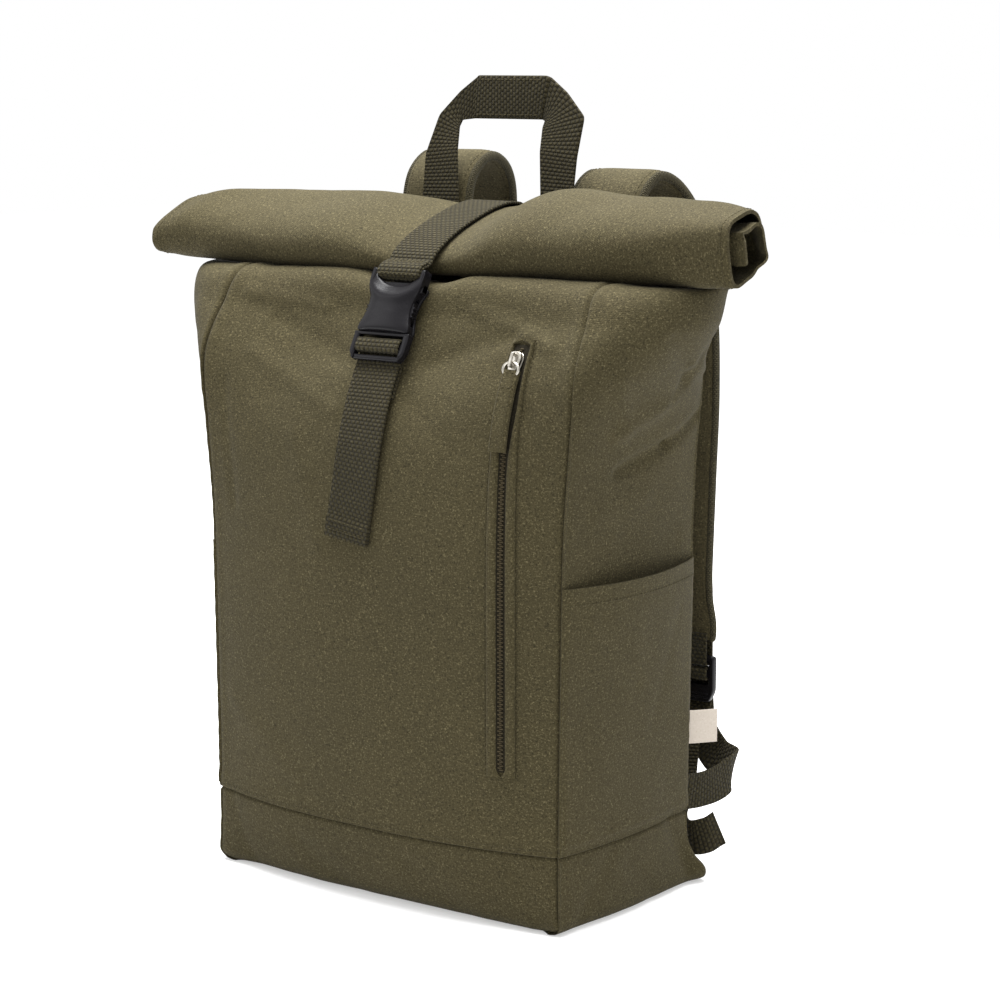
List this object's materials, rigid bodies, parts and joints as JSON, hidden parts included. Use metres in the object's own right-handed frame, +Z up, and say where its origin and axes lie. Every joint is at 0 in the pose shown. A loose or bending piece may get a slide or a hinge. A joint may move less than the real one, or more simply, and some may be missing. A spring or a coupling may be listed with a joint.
{
  "type": "rolltop backpack",
  "caption": "Canvas backpack with a rolled mouth held by a webbing strap and side release buckle, side pockets, zip pocket, grab handle and padded shoulder straps.",
  "frame": {"origin": "on the floor, under the middle of the base", "axes": "+Z up, -Y out of the front with the buckle, +X to the viewer's right when facing the front"},
  "size_m": [0.4606, 0.2528, 0.528],
  "materials": {
    "canvas": "matte heather cotton canvas, olive",
    "strap_cloth": "matte padded canvas, olive",
    "webbing": "coarse plain woven cotton webbing",
    "black_plastic": "satin moulded black",
    "zip_coil": "dark coil",
    "zip_tape": "fine woven tape",
    "silver_metal": "polished cast metal",
    "cream_label": "matte cream cotton tape, plain"
  },
  "bodies": {
    "root": {"front_panel": "canvas", "back_panel": "canvas", "side_panel_right": "canvas", "side_panel_left": "canvas", "front_band": "canvas", "back_band": "canvas", "side_band_right": "canvas", "side_band_left": "canvas", "base_panel": "canvas", "rolled_top": "canvas", "side_pocket_right": "canvas", "side_pocket_left": "canvas", "grab_handle": "webbing", "shoulder_strap_right": "strap_cloth", "shoulder_strap_left": "strap_cloth", "ladder_lock_right": "black_plastic", "ladder_lock_left": "black_plastic", "lock_tab_right": "webbing", "lock_tab_left": "webbing", "lower_webbing_right": "webbing", "lower_webbing_left": "webbing", "closure_strap_upper": "webbing", "closure_strap_lower": "webbing", "buckle_socket": "black_plastic", "buckle_plug": "black_plastic", "zip_tape": "zip_tape", "zip_teeth": "zip_coil", "zip_slider": "silver_metal", "puller_ring": "silver_metal", "puller_tab": "canvas", "side_label": "cream_label"}
  },
  "joints": []
}
